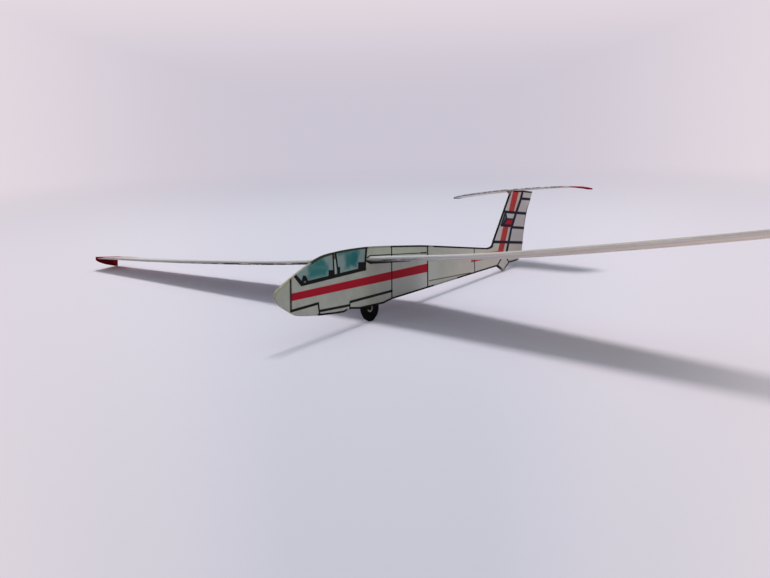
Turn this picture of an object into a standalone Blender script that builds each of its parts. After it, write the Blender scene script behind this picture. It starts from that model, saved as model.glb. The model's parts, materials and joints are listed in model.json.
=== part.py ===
"""Flat card model of a two-seat sailplane with a T-tail, about 1:100.

It stands as it comes to rest: on its wheel, its tail skid and the turned-down
starboard wing tip, with the nose up and the port wing raised.

Lengths are named in millimetres. Every piece is drawn in the model's own level
frame: X to the port wing, Y aft from the nose tip (a station), Z up from the
wheel's lowest point (a height). One empty then tips and banks the whole model
until its three feet stand on the floor, and centres it over the origin.
"""
import math

import bmesh
import bpy
from mathutils import Matrix, Vector

MM = 0.001
SMOOTH_ANGLE = math.radians(40)
REST_ROUNDS = 8

# Plies of card
SIDE_PLY = 0.15
CORE_PLY = 0.16
GLUE_LINE = 0.01
HALF_CORE = CORE_PLY / 2
SIDE_INNER = HALF_CORE + GLUE_LINE
SIDE_OUTER = SIDE_INNER + SIDE_PLY

# Body and fin profile: station, height
NOSE_TIP = (0.0, 4.85)
SPINE_HEIGHT = 13.7
FIN_ROOT_FRONT = (66.2, 15.3)
FIN_TOP_FRONT = (74.4, 26.8)
FIN_SEAT_REAR = (80.55, 27.3)
FIN_TOP_REAR = (84.6, 27.45)
SKID_FOOT = (70.2, 8.85)
CURVE_STEPS = 3

# Wheel
WHEEL_RADIUS = 2.5
WHEEL_CENTRE = (22.9, 2.5)
WHEEL_SIDES = 48

# Wings
WING_ROOT_X = SIDE_OUTER + GLUE_LINE
WING_ROOT_FRONT = (22.5, 10.675)
WING_FRONT_SPAN = 79.33
WING_REAR_SPAN = 80.25
WING_ROOT_CHORD = 15.6
WING_END_CHORD = 6.5
WING_FORWARD_SWEEP = 0.89
WING_ROOT_SLOPE = math.radians(1.33)
WING_END_SLOPE = math.radians(0.23)
WING_ROOT_FOLD = 0.87
WING_END_FOLD = 0.45
WING_REAR_GAPE = 0.85
WING_SECTIONS = 28
FOLD_STEPS = 6

# Turned-down wing ends
TIP_DEPTH = 1.404
TIP_THICKNESS = 0.3
TIP_START = 0.03
TIP_STEPS = 12

# Tailplane
TAIL_HALF_SPAN = 16.9
TAIL_ROOT_FRONT = 72.65
TAIL_ROOT_REAR = 80.45
TAIL_FRONT_SWEEP = 1.7
TAIL_FRONT_ROUNDING = 3.0
TAIL_ROUNDING_STARTS = 0.7
TAIL_REAR_SWEEP = 0.7
TAIL_THICKNESS = 0.3
TAIL_DROOP = 0.57
TAIL_PORT_CURL = 0.55
TAIL_CURL_STARTS = 0.75
TAIL_SECTIONS = 33

# Gusset under the tailplane, in front of the fin
GUSSET_LENGTH = 1.9
GUSSET_DEPTH = 0.85
GUSSET_FRONT_EDGE = 0.12
GUSSET_HALF_WIDTH = 0.15

WHITE_CARD = (0.80, 0.79, 0.77)
CREAM_EDGE = (0.78, 0.74, 0.60)
WHEEL_BLACK = (0.012, 0.012, 0.014)
TIP_RED = (0.42, 0.02, 0.04)


def clear_scene():
    """Remove what the scene holds."""
    for found in list(bpy.data.objects):
        bpy.data.objects.remove(found, do_unlink=True)


def make_material(name, colour, roughness):
    """A plain printed or bare card finish."""
    material = bpy.data.materials.new(name)
    material.use_nodes = True
    shader = material.node_tree.nodes["Principled BSDF"]
    shader.inputs["Base Color"].default_value = (*colour, 1.0)
    shader.inputs["Roughness"].default_value = roughness
    shader.inputs["Metallic"].default_value = 0.0
    return material


def add_piece(name, points, faces, material, parent, smooth_angle=None):
    """One closed solid from points in millimetres, with its faces turned outwards."""
    mesh = bpy.data.meshes.new(name)
    work = bmesh.new()
    corners = [work.verts.new(Vector(point) * MM) for point in points]
    for face in faces:
        work.faces.new([corners[index] for index in face])
    bmesh.ops.recalc_face_normals(work, faces=work.faces)
    work.to_mesh(mesh)
    work.free()
    mesh.materials.append(material)
    if smooth_angle is not None:
        mesh.shade_smooth()
        mesh.set_sharp_from_angle(angle=smooth_angle)
    piece = bpy.data.objects.new(name, mesh)
    bpy.context.collection.objects.link(piece)
    piece.parent = parent
    return piece


def plate(outline, low_x, high_x):
    """Points and faces of a flat ply whose outline is (station, height) pairs."""
    count = len(outline)
    points = [(low_x, y, z) for y, z in outline] + [(high_x, y, z) for y, z in outline]
    faces = [list(range(count)), list(range(2 * count - 1, count - 1, -1))]
    for index in range(count):
        after = (index + 1) % count
        faces.append([index, after, count + after, count + index])
    return points, faces


def loft(sections):
    """Points and faces of a solid through closed sections that have equally many points."""
    size = len(sections[0])
    points = [point for section in sections for point in section]
    last = (len(sections) - 1) * size
    faces = [list(range(size)), [last + index for index in reversed(range(size))]]
    for row in range(len(sections) - 1):
        for index in range(size):
            after = (index + 1) % size
            near, far = row * size, (row + 1) * size
            faces.append([near + index, near + after, far + after, far + index])
    return points, faces


def curve_through(knots, steps=CURVE_STEPS):
    """A smooth line through the knots, each stretch in a few straight steps."""
    ends = [knots[0]] + list(knots) + [knots[-1]]
    line = []
    for before, start, end, after in zip(ends, ends[1:], ends[2:], ends[3:]):
        for step in range(steps):
            t = step / steps
            line.append(tuple(
                0.5 * (2 * b + (c - a) * t + (2 * a - 5 * b + 4 * c - d) * t * t
                       + (3 * b - a - 3 * c + d) * t ** 3)
                for a, b, c, d in zip(before, start, end, after)))
    line.append(tuple(knots[-1]))
    return line


# Belly line, from the nose tip to the tail skid: station, height
BELLY_NOSE = (NOSE_TIP, (0.35, 4.1), (1.1, 3.35), (2.45, 2.65), (4.0, 1.95), (5.5, 1.6), (9.9, 1.5))
BELLY_STEP = ((13.8, 1.65), (15.8, 1.8), (16.7, 2.1), (17.6, 2.3))
BELLY_FRONT_OF_WHEEL = (20.0, 2.25)
BELLY_BEHIND_WHEEL = (26.5, 2.95)
BELLY_AFT = ((29.1, 3.65), (40.6, 5.55), (58.0, 8.35), (67.6, 9.9))
TAIL_UNDERSIDE = ((68.5, 9.5), SKID_FOOT, (71.5, 9.8), (72.9, 10.72), (75.0, 11.0), (77.2, 11.35))
# Back of the rudder, bottom to top, and the spine from the fin to the nose
RUDDER_BACK = ((78.0, 12.0), (78.9, 13.75), (79.6, 16.6), (80.4, 19.6), (81.6, 22.6), (83.2, 25.1),
               FIN_TOP_REAR)
FIN_FILLET = (FIN_ROOT_FRONT, (65.7, 14.5), (64.9, 14.0), (63.2, SPINE_HEIGHT))
SPINE = ((58.3, SPINE_HEIGHT), (41.0, 13.58), (33.7, 13.35), (24.7, 12.95), (19.2, 12.45),
         (14.0, 11.7), (10.3, 10.85), (6.8, 9.25), (3.6, 7.5), (0.95, 5.9), (0.25, 5.4), NOSE_TIP)


def profile_outline(wheel_pocket):
    """The body, fin and skid in side view, with or without the round pocket for the wheel."""
    outline = curve_through(BELLY_NOSE)
    outline += list(BELLY_STEP)
    outline.append(BELLY_FRONT_OF_WHEEL)
    if wheel_pocket:
        outline += pocket_arc()
    outline.append(BELLY_BEHIND_WHEEL)
    outline += list(BELLY_AFT)
    outline += list(TAIL_UNDERSIDE)
    outline += curve_through(RUDDER_BACK)
    outline += [FIN_SEAT_REAR, FIN_TOP_FRONT]
    outline += curve_through(FIN_FILLET)
    outline += curve_through(SPINE)[:-1]
    return outline


def belly_height(station):
    """Height of the belly line where it crosses the wheel."""
    (front, front_height), (rear, rear_height) = BELLY_FRONT_OF_WHEEL, BELLY_BEHIND_WHEEL
    return front_height + (rear_height - front_height) * (station - front) / (rear - front)


def pocket_arc():
    """The wheel's pocket in the core, from front to rear over the wheel's top."""
    radius = WHEEL_RADIUS + GLUE_LINE
    centre_y, centre_z = WHEEL_CENTRE
    front, rear = centre_y - radius, centre_y + radius
    arc = [(front, belly_height(front))]
    for step in range(WHEEL_SIDES // 2 + 1):
        angle = math.pi * (1 - 2 * step / WHEEL_SIDES)
        point = (centre_y + radius * math.cos(angle), centre_z + radius * math.sin(angle))
        if point[1] > belly_height(point[0]) + GLUE_LINE:
            arc.append(point)
    arc.append((rear, belly_height(rear)))
    return arc


def wheel_outline():
    """The wheel's disc in side view, with its radius measured to the corners."""
    centre_y, centre_z = WHEEL_CENTRE
    return [(centre_y + WHEEL_RADIUS * math.cos(2 * math.pi * step / WHEEL_SIDES),
             centre_z + WHEEL_RADIUS * math.sin(2 * math.pi * step / WHEEL_SIDES))
            for step in range(WHEEL_SIDES)]


# Rise of the wing over its root: fraction of the span, millimetres
WING_RISE = ((0.0, 0.0), (0.25, -0.13), (0.5, 0.45), (0.75, 1.37), (1.0, 2.57))
WING_RISE_STEPS = 12


def wing_rise(fraction):
    """The wing's gentle upward curve, read from WING_RISE by a smooth line."""
    line = curve_through(WING_RISE, WING_RISE_STEPS)
    for (near, low), (far, high) in zip(line, line[1:]):
        if fraction <= far:
            return low + (high - low) * (fraction - near) / (far - near)
    return line[-1][1]


def wing_chord(fraction):
    """Fore-and-aft length of the wing at a fraction of its span."""
    return WING_ROOT_CHORD + (WING_END_CHORD - WING_ROOT_CHORD) * fraction


def wing_point(side, fraction, along, lift):
    """A point of the wing: along is 0 at the front edge and 1 at the rear edge."""
    front, height = WING_ROOT_FRONT
    slope = WING_ROOT_SLOPE + (WING_END_SLOPE - WING_ROOT_SLOPE) * fraction
    depth = wing_chord(fraction) * along
    end_span = WING_FRONT_SPAN + (WING_REAR_SPAN - WING_FRONT_SPAN) * along
    x = WING_ROOT_X + (end_span - WING_ROOT_X) * fraction
    y = front - WING_FORWARD_SWEEP * fraction + depth * math.cos(slope)
    z = height + depth * math.sin(slope) + wing_rise(fraction) + lift
    return side * x, y, z


def wing_section(side, fraction):
    """A folded card section: a round fold in front, and leaves that spring apart behind it."""
    chord = wing_chord(fraction)
    fold = 0.5 * (WING_ROOT_FOLD + (WING_END_FOLD - WING_ROOT_FOLD) * fraction)
    section = [wing_point(side, fraction, 1.0, -0.5 * WING_REAR_GAPE)]
    for step in range(FOLD_STEPS + 1):
        angle = math.pi * (step / FOLD_STEPS - 0.5)
        along = fold * (1 - math.cos(angle)) / chord
        section.append(wing_point(side, fraction, along, fold * math.sin(angle)))
    section.append(wing_point(side, fraction, 1.0, 0.5 * WING_REAR_GAPE))
    return section


def build_wing(name, side, material, parent):
    sections = [wing_section(side, row / WING_SECTIONS) for row in range(WING_SECTIONS + 1)]
    return add_piece(name, *loft(sections), material, parent, SMOOTH_ANGLE)


def build_tip(name, side, material, parent):
    """The wing's end turned down: a crescent plate, deepest at the rear edge."""
    sections = []
    for step in range(TIP_STEPS + 1):
        along = TIP_START + (1 - TIP_START) * step / TIP_STEPS
        depth = TIP_DEPTH * math.sqrt(math.sin(0.5 * math.pi * along))
        x, y, z = wing_point(side, 1.0, along, 0.0)
        inner = x + side * GLUE_LINE
        outer = inner + side * TIP_THICKNESS
        half = 0.5 * (WING_END_FOLD + (WING_REAR_GAPE - WING_END_FOLD) * along)
        top = z + half
        bottom = z - half - depth
        sections.append([(inner, y, bottom), (outer, y, bottom), (outer, y, top), (inner, y, top)])
    return add_piece(name, *loft(sections), material, parent)


def seat_height(station):
    """Height of the fin's top edge under the tailplane, carried on in front of the fin."""
    (front, front_height), (rear, rear_height) = FIN_TOP_FRONT, FIN_SEAT_REAR
    return front_height + (rear_height - front_height) * (station - front) / (rear - front)


def past(reach, start):
    """0 up to the start, then 1 at the end of the half span, as a soft curve."""
    return max(0.0, (reach - start) / (1 - start)) ** 2


def build_tailplane(material, parent):
    """One bowed card across the fin's top, with rounded front corners and its port end turned down."""
    sections = []
    fold = 0.5 * TAIL_THICKNESS
    for row in range(TAIL_SECTIONS):
        side = 2 * row / (TAIL_SECTIONS - 1) - 1
        reach = abs(side)
        front = TAIL_ROOT_FRONT + TAIL_FRONT_SWEEP * reach
        front += TAIL_FRONT_ROUNDING * past(reach, TAIL_ROUNDING_STARTS)
        rear = TAIL_ROOT_REAR - TAIL_REAR_SWEEP * reach
        drop = GLUE_LINE - TAIL_DROOP * reach ** 2 - TAIL_PORT_CURL * past(side, TAIL_CURL_STARTS)
        section = [(rear, seat_height(rear) + drop)]
        for step in range(FOLD_STEPS + 1):
            angle = math.pi * (step / FOLD_STEPS - 0.5)
            y = front + fold * (1 - math.cos(angle))
            section.append((y, seat_height(y) + drop + fold + fold * math.sin(angle)))
        section.append((rear, seat_height(rear) + drop + TAIL_THICKNESS))
        sections.append([(side * TAIL_HALF_SPAN, y, z) for y, z in section])
    return add_piece("tailplane", *loft(sections), material, parent, SMOOTH_ANGLE)


def build_gusset(material, parent):
    """The small triangle that fills the corner of fin and tailplane."""
    rear = FIN_TOP_FRONT[0] - 2 * GLUE_LINE
    front = rear - GUSSET_LENGTH
    lean = (FIN_TOP_FRONT[0] - FIN_ROOT_FRONT[0]) / (FIN_TOP_FRONT[1] - FIN_ROOT_FRONT[1])
    foot = rear - GUSSET_DEPTH * lean
    outline = [(front, seat_height(front) - GUSSET_FRONT_EDGE), (foot, seat_height(foot) - GUSSET_DEPTH),
               (rear, seat_height(rear)), (front, seat_height(front))]
    points, faces = plate(outline, -GUSSET_HALF_WIDTH, GUSSET_HALF_WIDTH)
    return add_piece("fin_gusset", points, faces, material, parent)


def lowest(corners, up):
    """The corner that reaches furthest down."""
    return min(corners, key=lambda corner: corner.dot(up))


def resting_frame(wheel, side, tip):
    """Rotation that sets wheel, skid and starboard tip on one level floor, nose kept to -Y."""
    groups = [[vertex.co for vertex in piece.data.vertices] for piece in (wheel, side, tip)]
    groups[1] = [corner for corner in groups[1] if corner.y > BELLY_AFT[-1][0] * MM]
    up = Vector((0, 0, 1))
    for _ in range(REST_ROUNDS):
        feet = [lowest(corners, up) for corners in groups]
        up = (feet[1] - feet[0]).cross(feet[2] - feet[0]).normalized()
        if up.z < 0:
            up.negate()
    aft = (Vector((0, 1, 0)) - up * up.y).normalized()
    turn = Matrix((aft.cross(up), aft, up))
    return turn.to_4x4(), up.dot(feet[0])


def stand(pieces, parent):
    """Tip, bank and centre the model so that it stands on the floor over the origin."""
    by_name = {piece.name: piece for piece in pieces}
    turn, floor = resting_frame(by_name["main_wheel"], by_name["fuselage_side_starboard"],
                                by_name["wing_tip_starboard"])
    corners = [turn @ vertex.co for piece in pieces for vertex in piece.data.vertices]
    middle = [0.5 * (min(c[axis] for c in corners) + max(c[axis] for c in corners)) for axis in (0, 1)]
    parent.matrix_world = Matrix.Translation((-middle[0], -middle[1], -floor)) @ turn


def main():
    clear_scene()
    card = make_material("printed_card", WHITE_CARD, 0.6)
    bare = make_material("bare_card", CREAM_EDGE, 0.8)
    black = make_material("wheel_black", WHEEL_BLACK, 0.5)
    red = make_material("tip_red", TIP_RED, 0.5)
    attitude = bpy.data.objects.new("attitude", None)
    bpy.context.collection.objects.link(attitude)

    side = profile_outline(wheel_pocket=False)
    core = profile_outline(wheel_pocket=True)
    pieces = [
        add_piece("fuselage_core", *plate(core, -HALF_CORE, HALF_CORE), bare, attitude),
        add_piece("fuselage_side_port", *plate(side, SIDE_INNER, SIDE_OUTER), card, attitude),
        add_piece("fuselage_side_starboard", *plate(side, -SIDE_OUTER, -SIDE_INNER), card, attitude),
        add_piece("main_wheel", *plate(wheel_outline(), -HALF_CORE, HALF_CORE), black, attitude),
        build_tailplane(card, attitude),
        build_gusset(bare, attitude),
    ]
    for name, direction in (("port", 1), ("starboard", -1)):
        pieces.append(build_wing("wing_" + name, direction, card, attitude))
        pieces.append(build_tip("wing_tip_" + name, direction, red, attitude))
    stand(pieces, attitude)


main()
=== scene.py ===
import json
import math

import bpy
from mathutils import Matrix, Vector


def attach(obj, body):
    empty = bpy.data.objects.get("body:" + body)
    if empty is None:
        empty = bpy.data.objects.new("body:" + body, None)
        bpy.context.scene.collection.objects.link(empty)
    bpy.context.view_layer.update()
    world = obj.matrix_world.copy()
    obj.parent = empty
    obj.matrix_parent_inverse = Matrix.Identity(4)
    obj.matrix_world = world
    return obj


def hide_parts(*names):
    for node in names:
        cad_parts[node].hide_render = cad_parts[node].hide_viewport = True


# The looks of a small card model sailplane. Lengths are in millimetres in the
# model's own level frame: across to the port wing, station aft of the nose tip,
# height above the wheel's lowest point. A finished piece is moved from there to
# its place on the floor, in metres. A range runs from where a tint or a glow is
# missing to where it is whole, and a share is how much of it there is then.
MM = 0.001
# Where the mount on the body's port side lies in that level frame
GRIP_PLACE = Vector((0.24, 41.5, 8.2))

# Camera, as solved from the photograph, in millimetres in the part's frame
IMAGE_WIDTH = 770
CAMERA_PLACE = Vector((83.941, -123.352, 36.546))
CAMERA_HEADING = math.radians(-37.877)
CAMERA_DIP = math.radians(13.30)
CAMERA_ROLL = math.radians(-1.267)
FOCAL_PIXELS = 789.01
SENSOR_WIDTH = 36.0

# Studio, in millimetres in the part's frame: one wide soft lamp high over the model, soft light from
# overhead, and a pale sheet that lies flat under the model and curves up far behind it
LAMP_PLACE = Vector((-45.1, 54.0, 408.0))
LAMP_SIZE = 112.0
LAMP_POWER = 0.93
LAMP_COLOUR = (1.0, 0.965, 0.965)
OVERHEAD_COLOUR = (0.86, 1.0, 1.05)
OVERHEAD_STRENGTH = 0.75
OVERHEAD_FOCUS = 2.0
# The sheet's paper, and its paper to both sides, painted lighter there as painted light
SHEET_COLOUR = (0.73, 0.70, 0.79, 1)
SHEET_SIDE_PAINTED_LIGHT = (0.83, 0.765, 0.835, 1)
SHEET_WIDTH = 4000.0
SHEET_FRONT = -600.0
SHEET_CURVE_STARTS = 1100.0
SHEET_CURVE_RADIUS = 400.0
SHEET_CURVE_STEPS = 16
SHEET_HEIGHT = 700.0
# The light that the sheet gives off itself, far from the model and to both sides. A bearing is the
# way sideways over the way along the sheet, from a fixed place in front of the model
FAR_GLOW = (0.60, 0.565, 0.65, 1)
SIDE_GLOW = (0.80, 0.71, 0.76, 1)
FAR_GLOW_DISTANCES = (90.0, 330.0)
SIDE_PAINTED_LIGHT_BEARINGS = (0.10, 0.36)
SIDE_TINT_BEARINGS = (0.10, 0.62)
SIDE_TINT_HEIGHTS = (20.0, 320.0)
SIDE_GLOW_BEARINGS = (0.28, 0.62)
SIDE_SHARE = 0.45
BEARINGS_FROM = (83.9, -123.4, 0.0)
SHEET_ALONG = (math.sin(CAMERA_HEADING), math.cos(CAMERA_HEADING), 0.0)
SHEET_ACROSS = (math.cos(CAMERA_HEADING), -math.sin(CAMERA_HEADING), 0.0)

# Card and its cut edges, which scissors leave a little rounded
MERGE = 0.002
FLAT = math.radians(0.5)
EDGE_SOFTNESS = 0.03
EDGE_SEGMENTS = 2
SHARP_ANGLE = math.radians(50)
SMOOTH_ANGLE = math.radians(35)
# Width of the inked band along the outline
OUTLINE_BAND = 0.44
# How squarely a face looks a way, as a share of its normal, to count as facing it
SQUARELY = 0.999
MOSTLY = 0.9

# Colours of card, print and paint, as linear values
WHITE_CARD = (0.74, 0.73, 0.71, 1)
GREY_WHITE = (0.64, 0.63, 0.63, 1)
FRONT_CARD = (0.61, 0.61, 0.515, 1)
FRONT_SHADE = (0.53, 0.535, 0.45, 1)
BELOW_WING_PAINTED_LIGHT = (0.78, 0.80, 0.74, 1)
REAR_CARD = (0.80, 0.71, 0.60, 1)
FIN_CARD = (0.75, 0.69, 0.66, 1)
WARM_WHITE = (0.76, 0.66, 0.60, 1)
CREAM_CARD = (0.74, 0.67, 0.47, 1)
YELLOWED = (0.46, 0.47, 0.29, 1)
CUT_CREAM = (0.56, 0.53, 0.40, 1)
CUT_FIBRE = (0.34, 0.31, 0.22, 1)
FIBRE_BROWN = (0.40, 0.31, 0.20, 1)
# The gusset's card, darkened as painted shade from the tailplane above it
GUSSET_PAINTED_SHADE = (0.20, 0.145, 0.14, 1)
# The wings' painted light and shade: lit and shaded copies of their card, set by which way the surface
# faces. The tan is also the card's own bare edge
FOLD_PAINTED_LIGHT_WHITE = (0.97, 0.88, 0.81, 1)
TAN_EDGE_AND_PAINTED_SHADE = (0.62, 0.54, 0.46, 1)
UNDERSIDE_PAINTED_SHADE_TAN = (0.74, 0.64, 0.53, 1)
FOLD_PAINTED_SHADE_GREY = (0.60, 0.55, 0.58, 1)
FOOT_PAINTED_SHADE_GREY = (0.46, 0.42, 0.44, 1)
TAIL_GREY = (0.50, 0.47, 0.49, 1)
SOFT_BLACK = (0.035, 0.030, 0.032, 1)
BLACK_INK = (0.012, 0.009, 0.008, 1)
OLIVE_INK = (0.050, 0.062, 0.030, 1)
NAVY_INK = (0.016, 0.016, 0.036, 1)
WHEEL_BLACK = (0.004, 0.003, 0.003, 1)
WORN_BLACK = (0.011, 0.009, 0.009, 1)
BROWN_INK = (0.20, 0.13, 0.09, 1)
DARK_BROWN = (0.045, 0.026, 0.018, 1)
RED_INK = (0.56, 0.010, 0.030, 1)
ORANGE_RED = (0.66, 0.060, 0.055, 1)
DEEP_RED = (0.22, 0.004, 0.010, 1)
TIP_RED = (0.34, 0.004, 0.014, 1)
TIP_SHADE = (0.13, 0.001, 0.004, 1)
PALE_GLASS = (0.34, 0.45, 0.42, 1)
TEAL_GLASS = (0.055, 0.25, 0.24, 1)
DEEP_TEAL = (0.028, 0.20, 0.21, 1)
STRIP_WHITE = (0.58, 0.57, 0.55, 1)
SPOT_GREY = (0.20, 0.24, 0.26, 1)
PANEL_BLUE = (0.05, 0.12, 0.17, 1)
HUB_GREY = (0.36, 0.35, 0.35, 1)

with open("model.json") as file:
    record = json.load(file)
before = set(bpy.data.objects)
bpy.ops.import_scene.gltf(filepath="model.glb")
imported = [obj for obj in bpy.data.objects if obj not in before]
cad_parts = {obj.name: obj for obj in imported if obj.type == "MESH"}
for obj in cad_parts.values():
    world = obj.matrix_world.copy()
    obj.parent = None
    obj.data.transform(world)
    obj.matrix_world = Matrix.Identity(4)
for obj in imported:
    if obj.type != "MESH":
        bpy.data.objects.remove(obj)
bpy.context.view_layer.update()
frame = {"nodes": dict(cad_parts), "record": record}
bpy.ops.object.select_all(action="DESELECT")


def model_to_part():
    """The matrix from the model's level frame, in millimetres, to the part's, in metres."""
    grip = next(mount for mount in frame["record"]["mounts"] if mount["name"] == "body_side_port")
    across = Vector(grip["axis"]).normalized()
    aft = Vector((0, across.z, -across.y)).normalized()
    turn = Matrix((across, aft, across.cross(aft))).transposed()
    origin = Vector(grip["pos_m"]) - turn @ GRIP_PLACE * MM
    return Matrix.Translation(origin) @ turn.to_4x4() @ Matrix.Scale(MM, 4)


TO_PART = model_to_part()
TO_MODEL = TO_PART.inverted()


# Working with pieces

def take_up(piece):
    """Make the piece the only selected one, and the active one."""
    bpy.ops.object.select_all(action="DESELECT")
    piece.select_set(True)
    bpy.context.view_layer.objects.active = piece


def start_edit(piece, kind="FACE"):
    """Open the piece in edit mode with nothing selected."""
    take_up(piece)
    bpy.ops.object.mode_set(mode="EDIT")
    bpy.ops.mesh.select_mode(type=kind)
    bpy.ops.mesh.select_all(action="DESELECT")


def end_edit():
    """Leave edit mode."""
    bpy.ops.object.mode_set(mode="OBJECT")


def pick(piece, kind, test):
    """In edit mode, select those of the piece's polygons or edges that pass the test."""
    bpy.ops.object.mode_set(mode="OBJECT")
    for part in getattr(piece.data, kind):
        part.select = test(part)
    bpy.ops.object.mode_set(mode="EDIT")


def copy_node(node_name, name):
    """A free copy of a CAD node in the model's frame, merged into one skin of whole faces."""
    piece = bpy.data.objects.new(name, frame["nodes"][node_name].data.copy())
    bpy.context.collection.objects.link(piece)
    piece.data.materials.clear()
    piece.data.transform(TO_MODEL)
    start_edit(piece)
    bpy.ops.mesh.select_all(action="SELECT")
    bpy.ops.mesh.remove_doubles(threshold=MERGE)
    bpy.ops.mesh.customdata_custom_splitnormals_clear()
    bpy.ops.mesh.dissolve_limited(angle_limit=FLAT)
    bpy.ops.mesh.normals_make_consistent(inside=False)
    end_edit()
    return piece


def soften_edges(piece):
    """Round the piece's sharp edges a little, as scissors leave them."""
    take_up(piece)
    bevel = piece.modifiers.new("soften", "BEVEL")
    bevel.width = EDGE_SOFTNESS
    bevel.segments = EDGE_SEGMENTS
    bevel.limit_method = "ANGLE"
    bevel.angle_limit = SHARP_ANGLE
    bevel.use_clamp_overlap = True
    bpy.ops.object.modifier_apply(modifier=bevel.name)


def smooth(piece):
    """Shade the piece smooth, apart from its sharp edges."""
    take_up(piece)
    bpy.ops.object.shade_smooth_by_angle(angle=SMOOTH_ANGLE)


def lay_print(piece, place_of):
    """Give the piece a map of print places in millimetres, from each corner's place in the model."""
    layer = piece.data.uv_layers.new(name="print")
    for loop in piece.data.loops:
        layer.data[loop.index].uv = place_of(piece.data.vertices[loop.vertex_index].co)


def finish_piece(piece, node_name, materials):
    """Put a piece in its place on the floor, with its finish, where it stands for its CAD node."""
    for material in materials:
        piece.data.materials.append(material)
    piece.data.transform(TO_PART)
    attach(piece, "root")
    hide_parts(node_name)


# Node trees

def add_node(tree, kind, inputs=(), **settings):
    """A node with its settings made and its inputs set or linked, by name or number."""
    node = tree.nodes.new(kind)
    for key, value in settings.items():
        setattr(node, key, value)
    for socket, value in dict(inputs).items():
        if isinstance(value, bpy.types.NodeSocket):
            tree.links.new(value, node.inputs[socket])
        else:
            node.inputs[socket].default_value = value
    return node


def sums(tree, operation, *values):
    """A Math node on one value or more."""
    return add_node(tree, "ShaderNodeMath", dict(enumerate(values)), operation=operation).outputs[0]


def kept(tree, value):
    """A value kept between 0 and 1, by a Clamp node of its own: the renderer runs out of room
    on a long chain of Math nodes that clamp."""
    return add_node(tree, "ShaderNodeClamp", {0: value}).outputs[0]


def vector_sums(tree, operation, *values):
    """A Vector Math node; its number comes out for a dot product, length or distance."""
    node = add_node(tree, "ShaderNodeVectorMath", dict(enumerate(values)), operation=operation)
    return node.outputs["Value" if operation in ("DOT_PRODUCT", "LENGTH", "DISTANCE") else "Vector"]


def scaled(tree, vector, factor):
    """A vector times a number."""
    node = add_node(tree, "ShaderNodeVectorMath", {0: vector, "Scale": factor}, operation="SCALE")
    return node.outputs["Vector"]


def blended(tree, factor, below, above):
    """The colour below, covered by the colour above as far as the factor says."""
    node = add_node(tree, "ShaderNodeMix", {0: factor, 6: below, 7: above}, data_type="RGBA")
    return node.outputs[2]


def spread(tree, value, low, high, to_low=0.0, to_high=1.0):
    """A value carried softly from one range to another, and kept inside it."""
    inputs = {0: value, 1: low, 2: high, 3: to_low, 4: to_high}
    return add_node(tree, "ShaderNodeMapRange", inputs, interpolation_type="SMOOTHSTEP").outputs[0]


def new_group(name, inputs, outputs):
    """An empty node group with named sockets. inputs: name, kind, starting value."""
    group = bpy.data.node_groups.new(name, "ShaderNodeTree")
    for label, kind, value in inputs:
        socket = group.interface.new_socket(label, in_out="INPUT", socket_type=kind)
        socket.default_value = value
    for label, kind in outputs:
        group.interface.new_socket(label, in_out="OUTPUT", socket_type=kind)
    way_in = group.nodes.new("NodeGroupInput").outputs
    way_out = group.nodes.new("NodeGroupOutput").inputs
    return group, way_in, way_out


def placed(tree, group, **inputs):
    """A group in a tree, with its named inputs set or linked (underscores stand for spaces)."""
    node = tree.nodes.new("ShaderNodeGroup")
    node.node_tree = group
    for label, value in inputs.items():
        socket = node.inputs[label.replace("_", " ")]
        if isinstance(value, bpy.types.NodeSocket):
            tree.links.new(value, socket)
        else:
            socket.default_value = value
    return node.outputs


NUMBER = "NodeSocketFloat"
VECTOR = "NodeSocketVector"
ORIGIN = (0.0, 0.0, 0.0)
ALONG = (1.0, 0.0, 0.0)
ACROSS = (0.0, 1.0, 0.0)
UPWARD = (0.0, 0.0, 1.0)
MIDDLE_GREY = (0.5, 0.5, 0.5)
# Further inside than any place on a print
DEEP_INSIDE = 1000.0
# Card grain: the share of the mottle in its shade, and the stretch of the noise that the shade uses
MOTTLE_SHARE = 0.6
SHADE_RANGE = (0.35, 0.65)
# How far the grain pushes the ink, and how far and how finely wet paint runs
INK_WANDER = 0.10
WET_REACH = 1.3
WET_SCALE = 0.75
# The fibres' heights from smooth to rough, and how much rougher or smoother than the card they are
FIBRE_RANGE = (0.3, 0.7)
FIBRE_ROUGHNESS = 0.08


def make_printed_line():
    """A straight inked line, laid over the ink that is there already."""
    group, given, out = new_group("printed line", (
        ("Place", VECTOR, ORIGIN), ("Start", VECTOR, ORIGIN), ("End", VECTOR, ORIGIN),
        ("Width", NUMBER, 0.3), ("Bleed", NUMBER, 0.05), ("Ink", NUMBER, 0.0)), (("Ink", NUMBER),))
    away = vector_sums(group, "SUBTRACT", given["Place"], given["Start"])
    reach = vector_sums(group, "SUBTRACT", given["End"], given["Start"])
    along = vector_sums(group, "DOT_PRODUCT", away, reach)
    whole = vector_sums(group, "DOT_PRODUCT", reach, reach)
    part = kept(group, sums(group, "DIVIDE", along, whole))
    gap = vector_sums(group, "DISTANCE", away, scaled(group, reach, part))
    half = sums(group, "MULTIPLY", given["Width"], 0.5)
    inside = sums(group, "SUBTRACT", half, gap)
    ink = kept(group, sums(group, "ADD", sums(group, "DIVIDE", inside, given["Bleed"]), 0.5))
    group.links.new(sums(group, "MAXIMUM", ink, given["Ink"]), out["Ink"])
    return group


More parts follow.
